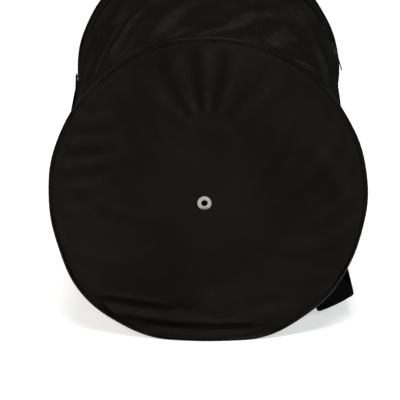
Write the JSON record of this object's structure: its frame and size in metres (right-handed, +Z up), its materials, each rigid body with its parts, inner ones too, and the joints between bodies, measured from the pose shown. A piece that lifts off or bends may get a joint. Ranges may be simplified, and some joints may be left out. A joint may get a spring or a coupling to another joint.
{
  "type": "round drum bag",
  "caption": "Round padded fabric bag for a drum, lying on its side: piped bottom panel with a vent eyelet, zipped lid on a fabric hinge and webbing straps.",
  "frame": {"origin": "middle of the bag's bounding box on the floor that it lies on", "axes": "+Z up; +Y along the bag from its bottom panel to its lid; +X to the right seen from the bottom panel"},
  "size_m": [0.3831, 0.426, 0.3769],
  "materials": {
    "outer_nylon": "woven nylon with a slight sheen",
    "padding": "closed-cell foam",
    "lining": "smooth lining",
    "binding": "woven tape",
    "piping_vinyl": "glossy vinyl",
    "zip_tape": "woven tape",
    "zip_teeth": "nylon coil",
    "zip_metal": "black enamel",
    "eyelet_metal": "nickel plated",
    "webbing": "woven webbing"
  },
  "bodies": {
    "bag": {"shell": "outer_nylon", "shell_foam": "padding", "shell_lining": "lining", "bottom_panel": "outer_nylon", "bottom_foam": "padding", "bottom_lining": "lining", "bottom_piping": "piping_vinyl", "bottom_binding": "binding", "eyelet": "eyelet_metal", "eyelet_washer": "eyelet_metal", "zip_tape_body": "zip_tape", "zip_teeth_body": "zip_teeth", "zip_stops": "zip_metal", "hinge_strip": "outer_nylon", "strap_right": "webbing", "strap_left": "webbing"},
    "lid": {"lid_band": "outer_nylon", "lid_band_lining": "lining", "lid_panel": "outer_nylon", "lid_foam": "padding", "lid_lining": "lining", "lid_piping": "piping_vinyl", "lid_binding": "binding", "zip_tape_lid": "zip_tape", "zip_teeth_lid": "zip_teeth"},
    "slider": {"slider": "zip_metal"},
    "puller": {"puller": "zip_metal"}
  },
  "joints": [
    {"name": "lid_hinge", "type": "hinge", "parent": "bag", "child": "lid", "pos_m": [0.06347, 0.15277, 0.35708], "axis": [0.9397, 0, -0.342], "range_deg": [0, 120]},
    {"name": "slider_travel", "type": "hinge", "parent": "bag", "child": "slider", "pos_m": [0.00156, 0.15277, 0.187], "axis": [0, 1, 0], "range_deg": [0, 256]},
    {"name": "puller_swing", "type": "hinge", "parent": "slider", "child": "puller", "pos_m": [0.17713, 0.15277, 0.24405], "axis": [0, -1, 0], "range_deg": [0, 170]}
  ]
}
